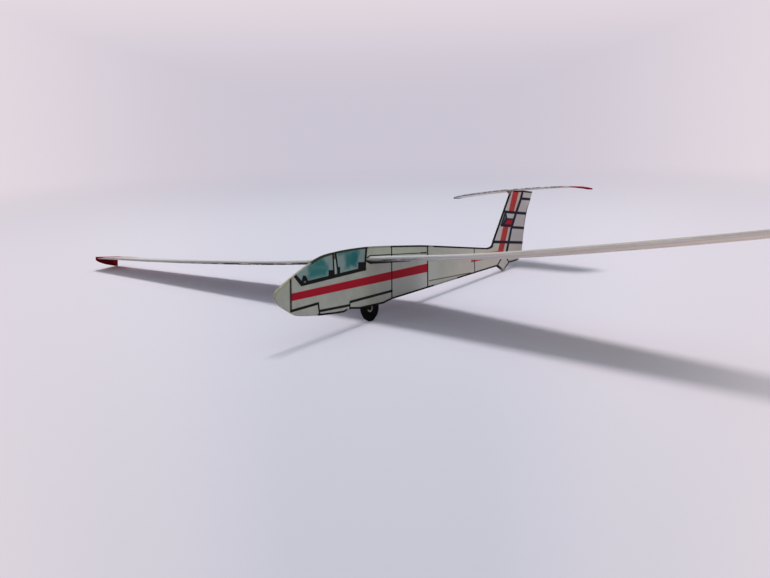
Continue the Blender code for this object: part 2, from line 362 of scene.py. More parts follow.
def make_side_of_line():
    """How far a place lies to the left of a line, in millimetres."""
    group, given, out = new_group("side of line", (
        ("Place", VECTOR, ORIGIN), ("Start", VECTOR, ORIGIN), ("End", VECTOR, ORIGIN)), (
        ("Distance", NUMBER),))
    away = vector_sums(group, "SUBTRACT", given["Place"], given["Start"])
    reach = vector_sums(group, "SUBTRACT", given["End"], given["Start"])
    turn = vector_sums(group, "CROSS_PRODUCT", reach, away)
    height = vector_sums(group, "DOT_PRODUCT", turn, UPWARD)
    length = vector_sums(group, "LENGTH", reach)
    group.links.new(sums(group, "DIVIDE", height, length), out["Distance"])
    return group


def make_printed_patch(side_of_line):
    """A four-cornered patch of print, its corners named anticlockwise."""
    corners = ("A", "B", "C", "D")
    group, given, out = new_group("printed patch", (
        ("Place", VECTOR, ORIGIN), *((corner, VECTOR, ORIGIN) for corner in corners),
        ("Bleed", NUMBER, 0.06)), (("Mask", NUMBER),))
    depth = DEEP_INSIDE
    for start, end in zip(corners, corners[1:] + corners[:1]):
        distance = placed(group, side_of_line, Place=given["Place"], Start=given[start], End=given[end])
        depth = sums(group, "MINIMUM", depth, distance["Distance"])
    mask = kept(group, sums(group, "ADD", sums(group, "DIVIDE", depth, given["Bleed"]), 0.5))
    group.links.new(mask, out["Mask"])
    return group


def make_card_grain():
    """The fibres and soft mottling of card, from a place in millimetres."""
    group, given, out = new_group("card grain", (
        ("Place", VECTOR, ORIGIN), ("Fibre", NUMBER, 9.0), ("Mottle", NUMBER, 0.8)), (
        ("Height", NUMBER), ("Shade", NUMBER), ("Wobble", VECTOR)))
    fibre = add_node(group, "ShaderNodeTexNoise", {
        "Vector": given["Place"], "Scale": given["Fibre"], "Detail": 5.0, "Roughness": 0.62,
        "Distortion": 1.6})
    mottle = add_node(group, "ShaderNodeTexNoise", {
        "Vector": given["Place"], "Scale": given["Mottle"], "Detail": 3.0, "Roughness": 0.55})
    group.links.new(fibre.outputs["Fac"], out["Height"])
    shade = sums(group, "ADD", sums(group, "MULTIPLY", fibre.outputs["Fac"], 1.0 - MOTTLE_SHARE),
                 sums(group, "MULTIPLY", mottle.outputs["Fac"], MOTTLE_SHARE))
    group.links.new(spread(group, shade, *SHADE_RANGE), out["Shade"])
    middle = vector_sums(group, "SUBTRACT", fibre.outputs["Color"], MIDDLE_GREY)
    group.links.new(middle, out["Wobble"])
    return group


PRINTED_LINE = make_printed_line()
PRINTED_PATCH = make_printed_patch(make_side_of_line())
CARD_GRAIN = make_card_grain()


class Finish:
    """A material being built: its tree, its places and its grain."""

    def __init__(self, name, fibre=9.0, mottle=0.8):
        self.material = bpy.data.materials.new(name)
        self.material.use_nodes = True
        self.tree = self.material.node_tree
        self.shader = self.tree.nodes["Principled BSDF"]
        where = add_node(self.tree, "ShaderNodeTexCoord").outputs["Object"]
        self.spot = scaled(self.tree, where, 1 / MM)
        self.grain = placed(self.tree, CARD_GRAIN, Place=self.spot, Fibre=fibre, Mottle=mottle)
        self.wobble = scaled(self.tree, self.grain["Wobble"], INK_WANDER)

    def print_place(self):
        """Where a point lies on the print, with the ink's small wander."""
        place = add_node(self.tree, "ShaderNodeUVMap", uv_map="print").outputs[0]
        return vector_sums(self.tree, "ADD", place, self.wobble)

    def wet_place(self, place):
        """The same place pushed about as far as wet paint runs."""
        blot = add_node(self.tree, "ShaderNodeTexNoise", {
            "Vector": place, "Scale": WET_SCALE, "Detail": 3.0})
        middle = vector_sums(self.tree, "SUBTRACT", blot.outputs["Color"], MIDDLE_GREY)
        return vector_sums(self.tree, "ADD", place, scaled(self.tree, middle, WET_REACH))

    def number(self, name):
        """A number laid on the piece's corners."""
        return add_node(self.tree, "ShaderNodeAttribute", attribute_name=name).outputs["Fac"]

    def close(self, colour, rough=0.72, bump=0.25, depth=0.02, gloss=0.12):
        """Wire the colour and the grain into the shader."""
        tree = self.tree
        tree.links.new(colour, self.shader.inputs["Base Color"])
        roughness = spread(tree, self.grain["Height"], *FIBRE_RANGE, rough - FIBRE_ROUGHNESS,
                           rough + FIBRE_ROUGHNESS)
        tree.links.new(roughness, self.shader.inputs["Roughness"])
        self.shader.inputs["Specular IOR Level"].default_value = gloss
        relief = add_node(tree, "ShaderNodeBump", {
            "Height": self.grain["Height"], "Strength": bump, "Distance": depth * MM})
        tree.links.new(relief.outputs[0], self.shader.inputs["Normal"])
        return self.material


def flat_place(station, height):
    """A place on the print, as the node groups take it."""
    return (station, height, 0.0)


def lay_lines(tree, place, rows, ink=0.0, bleed=0.08):
    """Ink from straight lines. Rows: start station, start height, end station, end height, width."""
    for start, height, end, end_height, width in rows:
        ink = placed(tree, PRINTED_LINE, Place=place, Start=flat_place(start, height),
                     End=flat_place(end, end_height), Width=width, Bleed=bleed, Ink=ink)["Ink"]
    return ink


def lay_patch(tree, place, corners, bleed=0.08):
    """How far a four-cornered patch covers a place. Corners: station, height, anticlockwise."""
    a, b, c, d = (flat_place(*corner) for corner in corners)
    return placed(tree, PRINTED_PATCH, Place=place, A=a, B=b, C=c, D=d, Bleed=bleed)["Mask"]


# The body's print, in millimetres. Patches: corners anticlockwise as station and height, colour,
# softness of the border
STRIPES = (
    (((3.45, 3.96), (40.5, 8.54), (40.5, 10.14), (3.45, 5.11)), RED_INK, 0.12),
    (((56.5, 10.55), (70.15, 12.2), (69.3, 13.30), (56.4, 12.1)), ORANGE_RED, 0.20),
    (((67.35, 12.2), (69.75, 12.2), (72.8, 18.75), (70.35, 18.75)), ORANGE_RED, 0.18),
    (((72.75, 21.85), (75.15, 21.9), (77.95, 27.0), (75.15, 27.0)), ORANGE_RED, 0.18),
    (((70.05, 12.2), (70.65, 12.2), (73.75, 18.75), (73.15, 18.75)), WARM_WHITE, 0.14),
    (((75.35, 21.9), (76.0, 21.9), (78.7, 27.0), (78.15, 27.0)), WARM_WHITE, 0.14),
    (((69.9, 18.85), (74.5, 18.95), (75.1, 20.42), (72.0, 20.3)), RED_INK, 0.16),
    (((69.35, 18.85), (70.0, 18.95), (71.95, 20.3), (71.35, 21.75)), PANEL_BLUE, 0.18),
)
CANOPY_GLASS = ((5.78, 6.30), (21.49, 8.79), (22.4, 16.0), (2.28, 9.56))
GLASS_WASHES = (
    (((7.3, 7.25), (11.6, 7.65), (11.9, 9.4), (7.5, 9.2)), TEAL_GLASS, 1.1),
    (((7.9, 9.0), (11.8, 9.2), (10.9, 10.7), (9.2, 10.6)), TEAL_GLASS, 1.0),
    (((16.3, 9.2), (19.3, 9.3), (19.9, 12.4), (16.2, 11.5)), TEAL_GLASS, 0.9),
    (((14.7, 11.3), (17.5, 11.6), (17.5, 12.3), (14.7, 11.9)), TEAL_GLASS, 0.8),
    (((17.8, 9.6), (19.2, 9.7), (19.6, 11.8), (18.2, 11.8)), DEEP_TEAL, 1.2),
)
COCKPIT_BLACKS = (
    ((4.00, 7.70), (5.70, 6.17), (6.30, 6.67), (4.58, 8.03)),
    ((5.67, 6.62), (7.46, 6.81), (6.73, 7.86), (6.08, 7.86)),
    ((12.04, 7.50), (13.44, 7.71), (13.46, 8.77), (12.12, 8.71)),
    ((14.18, 8.00), (14.96, 8.24), (15.01, 9.27), (14.20, 9.25)),
    ((19.62, 8.70), (21.45, 8.86), (21.45, 10.17), (19.67, 10.10)),
)
# Lines: start station, start height, end station, end height, width
LIGHT_STRIP = (13.70, 10.35, 13.85, 8.14, 0.36)
SHADED_STRIP = (13.60, 11.50, 13.70, 10.35, 0.40)
DIAL = (6.44, 6.86, 6.66, 6.90, 0.26)
NOSE_LINE = (3.36, 2.40, 3.36, 7.47, 0.44)
THIN_BROWN_LINE = (41.0, 6.86, 56.2, 8.42, 0.20)
STRIPE_LIGHT_LINES = (
    (69.95, 12.2, 73.0, 18.75, 0.14),
    (75.25, 21.9, 78.0, 27.0, 0.14),
)
PANEL_LINES = (
    (29.05, 3.70, 29.15, 13.25, 0.34),
    (40.45, 5.58, 40.58, 13.55, 0.40),
    (57.85, 8.42, 57.72, 13.70, 0.32),
    (3.42, 2.46, 9.55, 3.46, 0.42),
    (9.55, 3.46, 9.85, 1.54, 0.38),
    (9.91, 2.24, 17.16, 2.92, 0.42),
    (17.38, 3.42, 17.30, 2.36, 0.32),
    (17.43, 3.47, 29.1, 5.14, 0.44),
    (5.92, 6.52, 21.55, 9.02, 0.60),
    (13.24, 11.60, 13.44, 8.00, 0.38),
    (13.86, 11.62, 14.36, 8.90, 0.40),
    (21.97, 12.75, 21.42, 8.90, 0.54),
)
WING_ROOT_LINES = (
    (22.15, 10.92, 22.95, 11.25, 0.24),
    (22.95, 11.25, 28.67, 11.57, 0.20),
    (28.67, 11.57, 38.2, 12.06, 0.17),
    (38.2, 12.06, 40.1, 12.16, 0.26),
    (22.10, 10.30, 23.10, 10.04, 0.46),
    (23.10, 10.04, 28.95, 10.32, 0.40),
    (28.95, 10.32, 34.80, 10.60, 0.34),
)
FIN_LINES = (
    (79.50, 26.74, 78.42, 24.83, 0.92),
    (78.42, 24.83, 76.31, 21.95, 0.92),
    (76.31, 21.95, 74.06, 18.50, 0.92),
    (74.06, 18.50, 71.76, 13.20, 0.90),
    (79.20, 25.38, 83.27, 25.54, 0.60),
    (71.20, 21.86, 81.30, 22.09, 0.62),
    (74.20, 18.62, 80.07, 18.71, 0.60),
    (65.89, 15.07, 79.10, 15.36, 0.62),
    (74.6, 26.80, 84.0, 27.18, 0.30),
    (71.35, 21.82, 69.35, 18.85, 0.52),
    (69.30, 18.84, 74.40, 18.91, 0.60),
    (71.45, 21.70, 72.0, 20.36, 0.55),
    (72.0, 20.36, 69.95, 18.85, 0.60),
    (72.05, 20.36, 75.10, 20.44, 0.36),
    (69.30, 11.60, 67.35, 9.92, 0.40),
    (71.70, 11.65, 72.60, 10.82, 0.40),
)

# Where the outline along the card's rim is thinner or missing: corners of the stretch, what stays of it
WORN_RIMS = (
    (((-2.0, -1.0), (9.75, -1.0), (7.7, 11.5), (-2.0, 11.5)), 0.0),
    (((13.35, 11.0), (13.85, 11.0), (13.85, 12.6), (13.35, 12.6)), 0.2),
    (((16.7, 1.2), (17.25, 1.2), (17.25, 2.8), (16.7, 2.8)), 0.1),
    (((22.5, 12.3), (28.8, 12.4), (28.8, 14.0), (22.5, 14.0)), 0.45),
    (((40.9, 12.8), (42.5, 12.8), (42.5, 14.4), (40.9, 14.4)), 0.5),
    (((42.5, 4.5), (51.0, 5.5), (51.0, 8.6), (42.5, 8.0)), 0.4),
    (((68.4, 8.0), (70.6, 8.0), (70.6, 9.3), (68.4, 9.3)), 0.3),
    (((76.6, 11.2), (90.0, 11.2), (90.0, 27.2), (83.6, 27.2)), 0.0),
)
# The patch of the outline that is olive, the nose's yellowed rim, and the fin's front, where the
# outline is narrower
OLIVE_RIM = ((7.0, 7.0), (27.0, 11.0), (34.0, 15.0), (4.0, 12.0))
NOSE_RIM = ((-2.0, 4.2), (5.5, 6.0), (7.6, 10.6), (-2.0, 10.6))
FIN_FRONT = ((64.5, 14.2), (68.5, 14.2), (76.5, 28.0), (71.5, 28.0))
FIN_FRONT_THINNER = 0.55

# The body's own card
REAR_STATIONS = (36.0, 62.0)
FIN_HEIGHTS = (14.0, 17.0)
REAR_MOTTLE = 0.14
# Painted light: below the wing the card is made lighter, against the shade that the wing casts there
BELOW_WING = ((26.5, 2.0), (43.0, 4.0), (43.0, 10.4), (26.5, 10.0))
BELOW_WING_BLEED = 5.0
BELOW_WING_LIGHT_SHARE = 0.6
# The rim is 1 at the cut edge and 0 where the outline's band ends
YELLOWED_RIM = (0.05, 0.75)
INKED_RIM = (0.14, 0.38)
# On the cut edge itself the ink sits on the fibres that stand higher
INKED_FIBRES = (0.22, 0.42)

# The wings. A place on one is the distance out along the wing and behind its front edge, which
# starts at a station and runs slightly forward. A lean is how far the surface faces up: 1 on top,
# 0 at the front of the fold, -1 below
WING_FRONT_STATION = 22.5
WING_FORWARD_SLOPE = 0.0112
# The folded card's leaf, and how far the hollow between its two leaves reaches in from the rear
WING_LEAF = 0.24
WING_HOLLOW = 0.4
# The dark line along a wing's foot: where it is gone, where it is whole, how dark it is. Then the
# colours that the fold, its foot and the underside take outboard: painted light and shade, set by
# which way the surface faces, lit on the port wing and shaded on the starboard one
WING_LOOKS = {
    "port": (15.0, 4.0, 0.95, FOLD_PAINTED_LIGHT_WHITE, TAN_EDGE_AND_PAINTED_SHADE, UNDERSIDE_PAINTED_SHADE_TAN),
    "starboard": (62.0, 36.0, 1.0, FOLD_PAINTED_SHADE_GREY, FOOT_PAINTED_SHADE_GREY, WHITE_CARD),
}
# Lines: start out, start behind, end out, end behind, width
WING_LINES = (
    (43.0, 7.4, 78.5, 4.9, 0.14),
    (43.0, 7.4, 43.0, 10.5, 0.14),
    (3.0, 9.2, 43.0, 7.4, 0.12),
    (30.0, 4.6, 40.0, 4.3, 0.12),
)
WING_STREAKS = (0.35, 3.0, 1.0)
WING_FRONT_BAND = (0.9, 0.3)
FOLD_LEANS = (-1.0, -0.75)
FOLD_TOP_LEANS = (0.35, 0.75)
FOLD_STREAKS = (0.65, 0.3)
FOLD_STREAK_SHARE = 0.3
OUTBOARD_SPANS = (8.0, 34.0)
OUTBOARD_BAND = (1.7, 0.9)
OUTBOARD_LEANS = (0.985, 0.9)
UNDERSIDE_LEANS = (-0.85, -0.97)
UNDERSIDE_SHARE = 0.8
FLECK_FIBRES = (0.40, 0.30)
FLECK_SHARE = 0.5
FOOT_LEANS = (-0.1, -0.6)
FOOT_STREAKS = (0.36, 0.52)
# The red that runs from a wing's end onto its card: spans at which it starts on the front edge, and
# how much nearer the body it starts per millimetre behind that edge and where the surface faces up
RED_END_SPANS = (77.2, 77.6)
RED_END_SLANT = 0.5
RED_END_LEAN = 1.5

# The tailplane. A place on it is the distance to port and behind its front edge, which is swept
# back towards the ends and rounded from a share of the half span on
TAIL_HALF_SPAN = 16.9
TAIL_FRONT_STATION = 72.65
TAIL_SWEEP = 1.7
TAIL_ROUNDING = 3.0
TAIL_ROUNDING_STARTS = 0.7
TAIL_LEAF = 0.09
TAIL_GAP = 0.10
TAIL_STREAKS = (0.8, 4.0, 1.0)
TAIL_GREY_SPANS = (-1.0, -5.0)
TAIL_GREY_SHARE = 0.8
TAIL_GREY_BAND = (1.2, 0.5)
TAIL_UNDER_LEANS = (0.1, -0.6)
TAIL_UNDER_SPANS = (7.5, 2.5)
TAIL_EDGE_BAND = (0.34, 0.14)
TAIL_EDGE_STREAKS = (0.42, 0.55)
TAIL_EDGE_SHARE = 0.6
TAIL_PINK_STARTS = (10.9, 12.2)
TAIL_PINK_ENDS = (13.6, 12.4)
TAIL_PINK_SHARE = 0.25
TAIL_RED_STARTS = (14.1, 14.5)
TAIL_DEEP_RED_STARTS = (15.9, 16.7)
TAIL_DEEP_RED_SHARE = 0.8
# Where the starboard end is darkened as painted shade
TAIL_END_PAINTED_SHADE = (-15.3, -15.8)

# The wheel. Flats: degrees aft of straight down, depth that is cut off
WHEEL_CENTRE = (22.9, 2.5)
WHEEL_RADIUS = 2.5
WHEEL_FLATS = ((-22.0, 0.085), (-50.0, 0.05), (43.0, 0.09), (74.0, 0.04))
# The pale hub ring, and the two patches where it shows
HUB_CENTRE = (22.9, 2.35, 0.0)
HUB_RADIUS = 0.62
HUB_RING = (0.20, 0.08)
HUB_SIDE = ((22.7, 1.0), (24.4, 1.0), (24.4, 3.4), (23.0, 3.4))
HUB_FOOT = ((22.2, 1.2), (23.6, 1.2), (23.6, 2.0), (22.2, 2.0))


def worn_ink(tree, place, ink):
    """The outline's ink, less of it where the rim is worn."""
    for corners, left in WORN_RIMS:
        worn = sums(tree, "MULTIPLY", lay_patch(tree, place, corners, bleed=0.5), 1.0 - left)
        ink = sums(tree, "MULTIPLY", ink, sums(tree, "SUBTRACT", 1.0, worn))
    return ink


def outline_colour(tree, place):
    """The outline's ink: black, with an olive cast over the canopy."""
    return blended(tree, lay_patch(tree, place, OLIVE_RIM, bleed=2.0), BLACK_INK, OLIVE_INK)


def body_card(finish, place):
    """The body's bare card: greenish in front, painted lighter below the wing as painted light against
    the wing's shade, warm at the rear and the fin.
    """
    tree = finish.tree
    station = vector_sums(tree, "DOT_PRODUCT", place, ALONG)
    height = vector_sums(tree, "DOT_PRODUCT", place, ACROSS)
    colour = blended(tree, finish.grain["Shade"], FRONT_SHADE, FRONT_CARD)
    # Painted light below the wing, against the wing's shade
    below_wing_light = lay_patch(tree, place, BELOW_WING, BELOW_WING_BLEED)
    below_wing_light = sums(tree, "MULTIPLY", below_wing_light, BELOW_WING_LIGHT_SHARE)
    colour = blended(tree, below_wing_light, colour, BELOW_WING_PAINTED_LIGHT)
    rear = blended(tree, spread(tree, height, *FIN_HEIGHTS), REAR_CARD, FIN_CARD)
    mottle = spread(tree, finish.grain["Shade"], 0.0, 1.0, REAR_MOTTLE, 0.0)
    rear = blended(tree, mottle, rear, GREY_WHITE)
    return blended(tree, spread(tree, station, *REAR_STATIONS), colour, rear)


def canopy_print(finish, place, colour):
    """The canopy's glass with its wet washes of colour, and the pale post between its two panes."""
    tree = finish.tree
    colour = blended(tree, lay_patch(tree, place, CANOPY_GLASS), colour, PALE_GLASS)
    wet = finish.wet_place(place)
    for corners, tint, bleed in GLASS_WASHES:
        colour = blended(tree, lay_patch(tree, wet, corners, bleed), colour, tint)
    colour = blended(tree, lay_lines(tree, place, (SHADED_STRIP,)), colour, BROWN_INK)
    return blended(tree, lay_lines(tree, place, (LIGHT_STRIP,), bleed=0.16), colour, STRIP_WHITE)


def body_finish(name):
    """White card with the sailplane's side printed on it."""
    finish = Finish(name, fibre=7.0, mottle=0.5)
    tree = finish.tree
    place = finish.print_place()
    colour = body_card(finish, place)
    rim = finish.number("rim")
    fringe = spread(tree, rim, *YELLOWED_RIM)
    fringe = sums(tree, "MULTIPLY", fringe, lay_patch(tree, place, NOSE_RIM, bleed=0.6))
    colour = blended(tree, fringe, colour, YELLOWED)
    for corners, tint, bleed in STRIPES:
        colour = blended(tree, lay_patch(tree, place, corners, bleed), colour, tint)
    colour = blended(tree, lay_lines(tree, place, STRIPE_LIGHT_LINES, bleed=0.16), colour, CREAM_CARD)
    colour = canopy_print(finish, place, colour)
    colour = blended(tree, lay_lines(tree, place, (THIN_BROWN_LINE,)), colour, BROWN_INK)
    colour = blended(tree, lay_lines(tree, place, (NOSE_LINE,), bleed=0.2), colour, DARK_BROWN)
    fin_front = lay_patch(tree, place, FIN_FRONT, bleed=0.4)
    thinner = sums(tree, "MULTIPLY", fin_front, FIN_FRONT_THINNER)
    rim = sums(tree, "SUBTRACT", rim, thinner)
    outline = worn_ink(tree, place, spread(tree, rim, *INKED_RIM))
    colour = blended(tree, outline, colour, outline_colour(tree, place))
    ink = lay_lines(tree, place, PANEL_LINES + WING_ROOT_LINES)
    for corners in COCKPIT_BLACKS:
        ink = sums(tree, "MAXIMUM", ink, lay_patch(tree, place, corners))
    colour = blended(tree, ink, colour, BLACK_INK)
    colour = blended(tree, lay_lines(tree, place, (DIAL,)), colour, SPOT_GREY)
    colour = blended(tree, lay_lines(tree, place, FIN_LINES, bleed=0.12), colour, NAVY_INK)
    return finish.close(colour, rough=0.62, bump=0.22)


def cut_edge_finish(name):
    """The cut edge of card: cream fibres, and ink where the outline runs over it."""
    finish = Finish(name, fibre=16.0, mottle=2.2)
    tree = finish.tree
    colour = blended(tree, finish.grain["Shade"], CUT_FIBRE, CUT_CREAM)
    place = finish.print_place()
    ink = worn_ink(tree, place, spread(tree, finish.grain["Height"], *INKED_FIBRES))
    colour = blended(tree, ink, colour, outline_colour(tree, place))
    return finish.close(colour, rough=0.85, bump=0.6, depth=0.03)


def plain_card_finish(name, low, high, rough=0.72, gloss=0.12):
    """Card in one colour, with its grain."""
    finish = Finish(name)
    return finish.close(blended(finish.tree, finish.grain["Shade"], low, high), rough=rough, gloss=gloss)


def wing_finish(name, foot_gone, foot_whole, foot_strength, fold_painted_light, foot_painted_light, under_painted_light):
    """White folded card, tan and fibrous outboard, with painted light and shade on its fold and underside
    outboard, set by which way they face, a broken dark line along its foot and a red end."""
    finish = Finish(name, fibre=8.0, mottle=0.35)
    tree = finish.tree
    place = finish.print_place()
    span = vector_sums(tree, "DOT_PRODUCT", place, ALONG)
    behind = vector_sums(tree, "DOT_PRODUCT", place, ACROSS)
    lean = finish.number("lean")
    colour = blended(tree, finish.grain["Shade"], GREY_WHITE, WHITE_CARD)
    streaks = add_node(tree, "ShaderNodeTexNoise", {
        "Vector": vector_sums(tree, "MULTIPLY", place, WING_STREAKS), "Scale": 1.0, "Detail": 4.0})
    front = spread(tree, behind, *WING_FRONT_BAND)
    # Painted light and shade on the fold, by which way its surface faces
    fold = blended(tree, spread(tree, lean, *FOLD_LEANS), foot_painted_light, fold_painted_light)
    fold = blended(tree, spread(tree, lean, *FOLD_TOP_LEANS), fold, TAN_EDGE_AND_PAINTED_SHADE)
    streaked = spread(tree, streaks.outputs["Fac"], *FOLD_STREAKS, 0.0, FOLD_STREAK_SHARE)
    fold = blended(tree, streaked, fold, TAN_EDGE_AND_PAINTED_SHADE)
    # Painted shade on the underside outboard
    under = spread(tree, lean, *UNDERSIDE_LEANS, 0.0, UNDERSIDE_SHARE)
    under = sums(tree, "MULTIPLY", under, spread(tree, span, *OUTBOARD_SPANS))
    colour = blended(tree, under, colour, under_painted_light)
    bare = spread(tree, behind, *OUTBOARD_BAND)
    bare = sums(tree, "MULTIPLY", bare, spread(tree, span, *OUTBOARD_SPANS))
    bare = sums(tree, "MULTIPLY", bare, spread(tree, lean, *OUTBOARD_LEANS))
    colour = blended(tree, bare, colour, fold)
    flecks = spread(tree, finish.grain["Height"], *FLECK_FIBRES, 0.0, FLECK_SHARE)
    flecks = sums(tree, "MULTIPLY", front, flecks)
    colour = blended(tree, flecks, colour, FIBRE_BROWN)
    foot = spread(tree, lean, *FOOT_LEANS, 0.0, foot_strength)
    foot = sums(tree, "MULTIPLY", front, foot)
    foot = sums(tree, "MULTIPLY", foot, spread(tree, streaks.outputs["Fac"], *FOOT_STREAKS))
    foot = sums(tree, "MULTIPLY", foot, spread(tree, span, foot_gone, foot_whole))
    colour = blended(tree, foot, colour, SOFT_BLACK)
    colour = blended(tree, lay_lines(tree, place, WING_LINES, bleed=0.1), colour, SOFT_BLACK)
    reach = sums(tree, "ADD", span, sums(tree, "MULTIPLY", behind, RED_END_SLANT))
    reach = sums(tree, "ADD", reach, sums(tree, "MULTIPLY", lean, RED_END_LEAN))
    colour = blended(tree, spread(tree, reach, *RED_END_SPANS), colour, TIP_RED)
    return finish.close(colour, rough=0.66, bump=0.3)


def tail_finish(name):
    """White card with a broken dark front edge, the port end painted red and darker at its end, and the
    starboard end darkened as painted shade.
    """
    finish = Finish(name, fibre=9.0, mottle=1.2)
    tree = finish.tree
    place = finish.print_place()
    span = vector_sums(tree, "DOT_PRODUCT", place, ALONG)
    behind = vector_sums(tree, "DOT_PRODUCT", place, ACROSS)
    colour = blended(tree, finish.grain["Shade"], GREY_WHITE, WHITE_CARD)
    grey = spread(tree, span, *TAIL_GREY_SPANS, 0.0, TAIL_GREY_SHARE)
    grey = sums(tree, "MULTIPLY", grey, spread(tree, behind, *TAIL_GREY_BAND))
    colour = blended(tree, grey, colour, TAIL_GREY)
    under = spread(tree, finish.number("lean"), *TAIL_UNDER_LEANS)
    middle = spread(tree, sums(tree, "ABSOLUTE", span), *TAIL_UNDER_SPANS)
    colour = blended(tree, sums(tree, "MULTIPLY", under, middle), colour, WARM_WHITE)
    streaks = add_node(tree, "ShaderNodeTexNoise", {
        "Vector": vector_sums(tree, "MULTIPLY", place, TAIL_STREAKS), "Scale": 1.0, "Detail": 3.0})
    front = spread(tree, behind, *TAIL_EDGE_BAND)
    front = sums(tree, "MULTIPLY", front, spread(tree, streaks.outputs["Fac"], *TAIL_EDGE_STREAKS))
    colour = blended(tree, sums(tree, "MULTIPLY", front, TAIL_EDGE_SHARE), colour, SOFT_BLACK)
    pink = spread(tree, span, *TAIL_PINK_STARTS)
    pink = sums(tree, "MULTIPLY", pink, spread(tree, span, *TAIL_PINK_ENDS))
    colour = blended(tree, sums(tree, "MULTIPLY", pink, TAIL_PINK_SHARE), colour, RED_INK)
    red = blended(tree, finish.grain["Shade"], DEEP_RED, RED_INK)
    colour = blended(tree, spread(tree, span, *TAIL_RED_STARTS), colour, red)
    deep = sums(tree, "MULTIPLY", spread(tree, span, *TAIL_DEEP_RED_STARTS), TAIL_DEEP_RED_SHARE)
    colour = blended(tree, deep, colour, DEEP_RED)
    # Painted shade: the starboard end is made dark brown
    colour = blended(tree, spread(tree, span, *TAIL_END_PAINTED_SHADE), colour, DARK_BROWN)
    return finish.close(colour, rough=0.66, bump=0.3)


def wheel_finish(name):
    """Card printed black, with part of a pale hub ring."""
    finish = Finish(name, fibre=8.0, mottle=1.0)
    tree = finish.tree
    place = finish.print_place()
    reach = vector_sums(tree, "DISTANCE", place, HUB_CENTRE)
    ring = sums(tree, "ABSOLUTE", sums(tree, "SUBTRACT", reach, HUB_RADIUS))
    ring = spread(tree, ring, *HUB_RING)
    shown = lay_patch(tree, place, HUB_SIDE, bleed=0.3)
    shown = sums(tree, "MAXIMUM", shown, lay_patch(tree, place, HUB_FOOT, bleed=0.3))
    colour = blended(tree, finish.grain["Shade"], WHEEL_BLACK, WORN_BLACK)
    colour = blended(tree, sums(tree, "MULTIPLY", ring, shown), colour, HUB_GREY)
    return finish.close(colour, rough=0.6, gloss=0.04)


# Camera, lights and floor

def set_camera():
    """The photograph's camera, from its heading, dip and roll."""
    forward = Vector((math.sin(CAMERA_HEADING) * math.cos(CAMERA_DIP),
                      math.cos(CAMERA_HEADING) * math.cos(CAMERA_DIP), -math.sin(CAMERA_DIP)))
    level = forward.cross(Vector(UPWARD)).normalized()
    upright = level.cross(forward)
    right = level * math.cos(CAMERA_ROLL) + upright * math.sin(CAMERA_ROLL)
    up = upright * math.cos(CAMERA_ROLL) - level * math.sin(CAMERA_ROLL)
    data = bpy.data.cameras.new("camera")
    data.sensor_width = SENSOR_WIDTH
    data.lens = FOCAL_PIXELS * SENSOR_WIDTH / IMAGE_WIDTH
    data.clip_start = 1 * MM
    camera = bpy.data.objects.new("camera", data)
    bpy.context.collection.objects.link(camera)
    turn = Matrix((right, up, -forward)).transposed()
    camera.matrix_world = Matrix.Translation(CAMERA_PLACE * MM) @ turn.to_4x4()
    bpy.context.scene.camera = camera


def set_lights():
    """One wide soft lamp high over the model, and a sky that lights only from overhead but looks
    pale all round."""
    data = bpy.data.lights.new("lamp", "AREA")
    data.shape = "DISK"
    data.size = LAMP_SIZE * MM
    data.energy = LAMP_POWER
    data.color = LAMP_COLOUR
    lamp = bpy.data.objects.new("lamp", data)
    bpy.context.collection.objects.link(lamp)
    lamp.location = LAMP_PLACE * MM
    lamp.rotation_euler = (-LAMP_PLACE).to_track_quat("-Z", "Y").to_euler()
    world = bpy.data.worlds.new("sky")
    world.use_nodes = True
    tree = world.node_tree
    sky = tree.nodes["Background"]
    sky.inputs["Color"].default_value = (*OVERHEAD_COLOUR, 1)
    where = add_node(tree, "ShaderNodeTexCoord").outputs["Generated"]
    height = vector_sums(tree, "DOT_PRODUCT", where, UPWARD)
    overhead = sums(tree, "POWER", kept(tree, height), OVERHEAD_FOCUS)
    tree.links.new(sums(tree, "MULTIPLY", overhead, OVERHEAD_STRENGTH), sky.inputs["Strength"])
    backdrop = add_node(tree, "ShaderNodeBackground", {"Color": FAR_GLOW, "Strength": 1.0})
    seen = add_node(tree, "ShaderNodeLightPath").outputs["Is Camera Ray"]
    mixed = add_node(tree, "ShaderNodeMixShader", {0: seen, 1: sky.outputs[0], 2: backdrop.outputs[0]})
    tree.links.new(mixed.outputs[0], tree.nodes["World Output"].inputs["Surface"])
    bpy.context.scene.world = world


